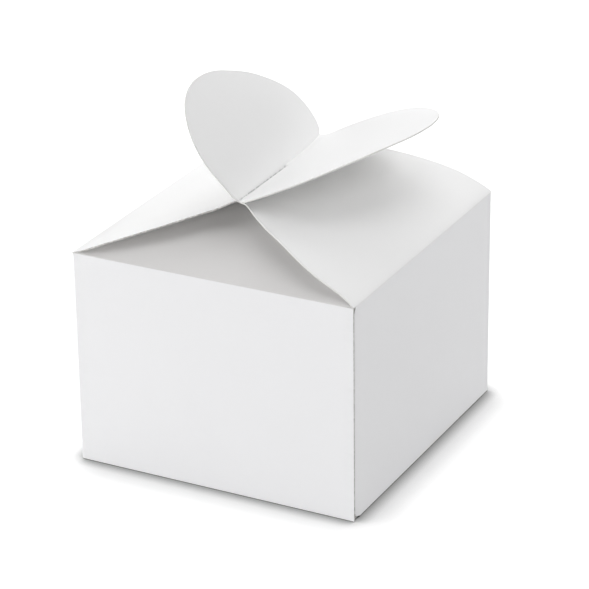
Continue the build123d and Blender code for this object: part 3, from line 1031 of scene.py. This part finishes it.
# %% Make the inner bottom flaps
INNER_LENGTH, INNER_ROUND = 30.0, 4.0
FRONT_INSET, FRONT_TAPER, REAR_INSET = 2.6, 2.5, 3.0
inner_front, inner_rear = -wall_y + FRONT_INSET, wall_y - REAR_INSET
inner_corners = [(0, inner_front), (INNER_LENGTH, inner_front + FRONT_TAPER),
                 (INNER_LENGTH, inner_rear - INNER_LENGTH), (0, inner_rear)]
inner_outline = rounded(inner_corners, (0, INNER_ROUND, INNER_ROUND, 0))
for name, side in (("left", -1), ("right", 1)):
    axis_x, _, axis_z = creases[f"{name}_bottom_dust_flap_fold"]
    card_piece(
        f"{name}_bottom_dust_sheet", inner_outline,
        lambda s, w, side=side, x=axis_x, z=axis_z: np.c_[x - side * s, w, np.full_like(s, z)],
        wall_finishes, f"{name}_bottom_dust", [f"{name}_bottom_dust_flap"], "card_inside",
        fold=at_root, outer=side, **SMALL_GRID,
    )

# %% [markdown]
# ## The floor
# The box stands on a plain white floor. It lies a hair under the box, so that no two faces
# share a place.

# %% Make the floor
FLOOR_HALF = 2.0
FLOOR_DROP = 0.00004
floor_corners = [(x * FLOOR_HALF, y * FLOOR_HALF, -FLOOR_DROP)
                 for x, y in ((-1, -1), (1, -1), (1, 1), (-1, 1))]
floor_mesh = bpy.data.meshes.new("floor")
floor_mesh.from_pydata(floor_corners, [], [(0, 1, 2, 3)])
floor = bpy.data.objects.new("floor", floor_mesh)
bpy.context.scene.collection.objects.link(floor)
print("floor", floor.name)

# %% [markdown]
# ### The floor's white
# Seen by the camera, the floor is part lit surface, which keeps the box's soft shadow, and part
# even white, so that it reads as pure white away from the box without more light on the object.
# The even part grows with distance, where the lamps no longer reach, and near the box it carries a
# painted shadow, weaker on the left, where the room is brighter. Both parts carry a painted
# contact shadow in the last few millimetres before the walls. From below, the floor lets the view
# and the lamp through.

# %% Make the floor's white
FLOOR_WHITE, EVEN_LEVEL = 0.90, 0.80
NEAR_BOX, FAR_FROM_BOX = 0.2, 0.8
SHADE_REACH, CONTACT_REACH = 0.013, 0.004
OPEN_LEVEL, OPEN_CURVE, LIT_SHARE = 0.984, 1.2, 0.42
floor_white = bpy.data.materials.new("floor_white")
floor_white.use_nodes = True
floor_mesh.materials.append(floor_white)
tree = floor_white.node_tree
tree.nodes.clear()
rays = add(tree, "ShaderNodeLightPath")
here = add(tree, "ShaderNodeNewGeometry")
bright_side = add(tree, "ShaderNodeCombineXYZ", {"X": -0.25, "Z": 0.968})
# Painted shadow: the even white fades where the box hides the floor, less on the left.
openness = add(tree, "ShaderNodeAmbientOcclusion", {"Distance": SHADE_REACH})
open_level = add(tree, "ShaderNodeMapRange", {"From Max": OPEN_LEVEL})
open_curve = add(tree, "ShaderNodeMath", {1: OPEN_CURVE}, operation="POWER")
# Painted contact shadow on both parts, within a few millimetres of the walls.
painted_contact_shadow = add(tree, "ShaderNodeAmbientOcclusion", {"Distance": CONTACT_REACH})
even_white_with_painted_shadow = add(tree, "ShaderNodeMath", operation="MULTIPLY")
lit_white_with_painted_contact_shadow = add(tree, "ShaderNodeMath", {1: LIT_SHARE}, operation="MULTIPLY")
distance = add(tree, "ShaderNodeVectorMath", operation="LENGTH")
even_level = add(
    tree, "ShaderNodeMapRange",
    {"From Min": NEAR_BOX, "From Max": FAR_FROM_BOX, "To Min": EVEN_LEVEL, "To Max": 1.0},
)
let_through = add(tree, "ShaderNodeMath", operation="MAXIMUM")
join(
    tree,
    (bright_side, openness.inputs["Normal"]),
    (openness.outputs["AO"], open_level.inputs["Value"]),
    (open_level, open_curve.inputs[0]),
    (open_curve, even_white_with_painted_shadow.inputs[0]),
    (painted_contact_shadow.outputs["AO"], even_white_with_painted_shadow.inputs[1]),
    (painted_contact_shadow.outputs["AO"], lit_white_with_painted_contact_shadow.inputs[0]),
    (here.outputs["Position"], distance.inputs[0]),
    (distance.outputs["Value"], even_level.inputs["Value"]),
    (here.outputs["Backfacing"], let_through.inputs[0]),
    (rays.outputs["Is Shadow Ray"], let_through.inputs[1]),
)
print("floor masks", len(tree.nodes), "nodes")

# %% [markdown]
# The masks feed four plain shaders: the floor that lights the box, the lit and the even part
# that the camera sees, and a clear one for the view from below.

# %% Put the floor's white together
plain = add(tree, "ShaderNodeBsdfDiffuse", {"Color": (FLOOR_WHITE, FLOOR_WHITE, FLOOR_WHITE, 1)})
lit_part = add(tree, "ShaderNodeBsdfDiffuse")
even_part = add(tree, "ShaderNodeEmission")
clear = add(tree, "ShaderNodeBsdfTransparent")
both_parts = add(tree, "ShaderNodeAddShader")
seen = add(tree, "ShaderNodeMixShader")
two_sided = add(tree, "ShaderNodeMixShader")
floor_out = add(tree, "ShaderNodeOutputMaterial")
join(
    tree,
    (lit_white_with_painted_contact_shadow, lit_part.inputs["Color"]),
    (even_white_with_painted_shadow, even_part.inputs["Color"]),
    (even_level, even_part.inputs["Strength"]),
    (lit_part, both_parts.inputs[0]),
    (even_part, both_parts.inputs[1]),
    (rays.outputs["Is Camera Ray"], seen.inputs["Fac"]),
    (plain, seen.inputs[1]),
    (both_parts, seen.inputs[2]),
    (let_through, two_sided.inputs["Fac"]),
    (seen, two_sided.inputs[1]),
    (clear, two_sided.inputs[2]),
    (two_sided, floor_out.inputs["Surface"]),
)
print("material", floor_white.name)

# %% [markdown]
# ## Light
# The sky is pure white where the camera looks at it, or sees it in a gloss, and gives only a
# little light.

# %% Make the sky
SKY_LEVEL = 0.05
world = bpy.data.worlds.new("white_room")
bpy.context.scene.world = world
world.use_nodes = True
tree = world.node_tree
sky = tree.nodes["Background"]
rays = add(tree, "ShaderNodeLightPath")
seen_or_glossy = add(tree, "ShaderNodeMath", operation="MAXIMUM")
seen_any = add(tree, "ShaderNodeMath", operation="MAXIMUM")
sky_tint = add(tree, "ShaderNodeMix", data_type="RGBA")
sky_tint.inputs[COLOR_A].default_value = (SKY_LEVEL, SKY_LEVEL, SKY_LEVEL, 1)
sky_tint.inputs[COLOR_B].default_value = (1, 1, 1, 1)
join(
    tree,
    (rays.outputs["Is Camera Ray"], seen_or_glossy.inputs[0]),
    (rays.outputs["Is Glossy Ray"], seen_or_glossy.inputs[1]),
    (seen_or_glossy, seen_any.inputs[0]),
    (rays.outputs["Is Transmission Ray"], seen_any.inputs[1]),
    (seen_any, sky_tint.inputs[FACTOR]),
    (sky_tint.outputs[MIXED_COLOR], sky.inputs["Color"]),
)
print("sky", world.name)

# %% [markdown]
# ### The lamps
# White card shows its form only by small steps of light, so wide soft lamps stand all round it,
# a low one in front and one below, and none of them strong. Each face of the box gets its
# brightness in the photograph. Places and sizes are in metres, strengths in watts.

# %% Make the lamps
LAMPS = (
    ("top_lamp", (0, 0, 1.15), 0.8, 3.7),
    ("front_lamp", (0, -1.1, 0.12), 0.8, 4.5),
    ("front_left_lamp", (-0.9, -0.6, 0.4), 0.6, 4.9),
    ("rear_left_lamp", (-0.7, 0.6, 0.7), 0.7, 4.0),
    ("rear_lamp", (0, 0.8, 0.8), 0.7, 3.3),
    ("rear_right_lamp", (0.95, 0.55, 0.4), 0.7, 1.15),
    ("right_lamp", (0.8, 0.15, 0.8), 0.7, 3.75),
    ("lower_lamp", (0, 0, -0.9), 0.25, 2.6),
)
BOX_MIDDLE = Vector((0, 0, 0.05))


def soft_lamp(name, place, size, watts):
    """A wide square lamp that looks at the middle of the box."""
    data = bpy.data.lights.new(name, "AREA")
    data.shape = "SQUARE"
    data.size = size
    data.energy = watts
    lamp = bpy.data.objects.new(name, data)
    lamp.location = place
    lamp.rotation_mode = "QUATERNION"
    lamp.rotation_quaternion = (Vector(place) - BOX_MIDDLE).to_track_quat("Z", "Y")
    bpy.context.scene.collection.objects.link(lamp)
    print(name, watts, "W")


for name, place, size, watts in LAMPS:
    soft_lamp(name, place, size, watts)

# %% Set the colour view
bpy.context.scene.view_settings.view_transform = "Standard"
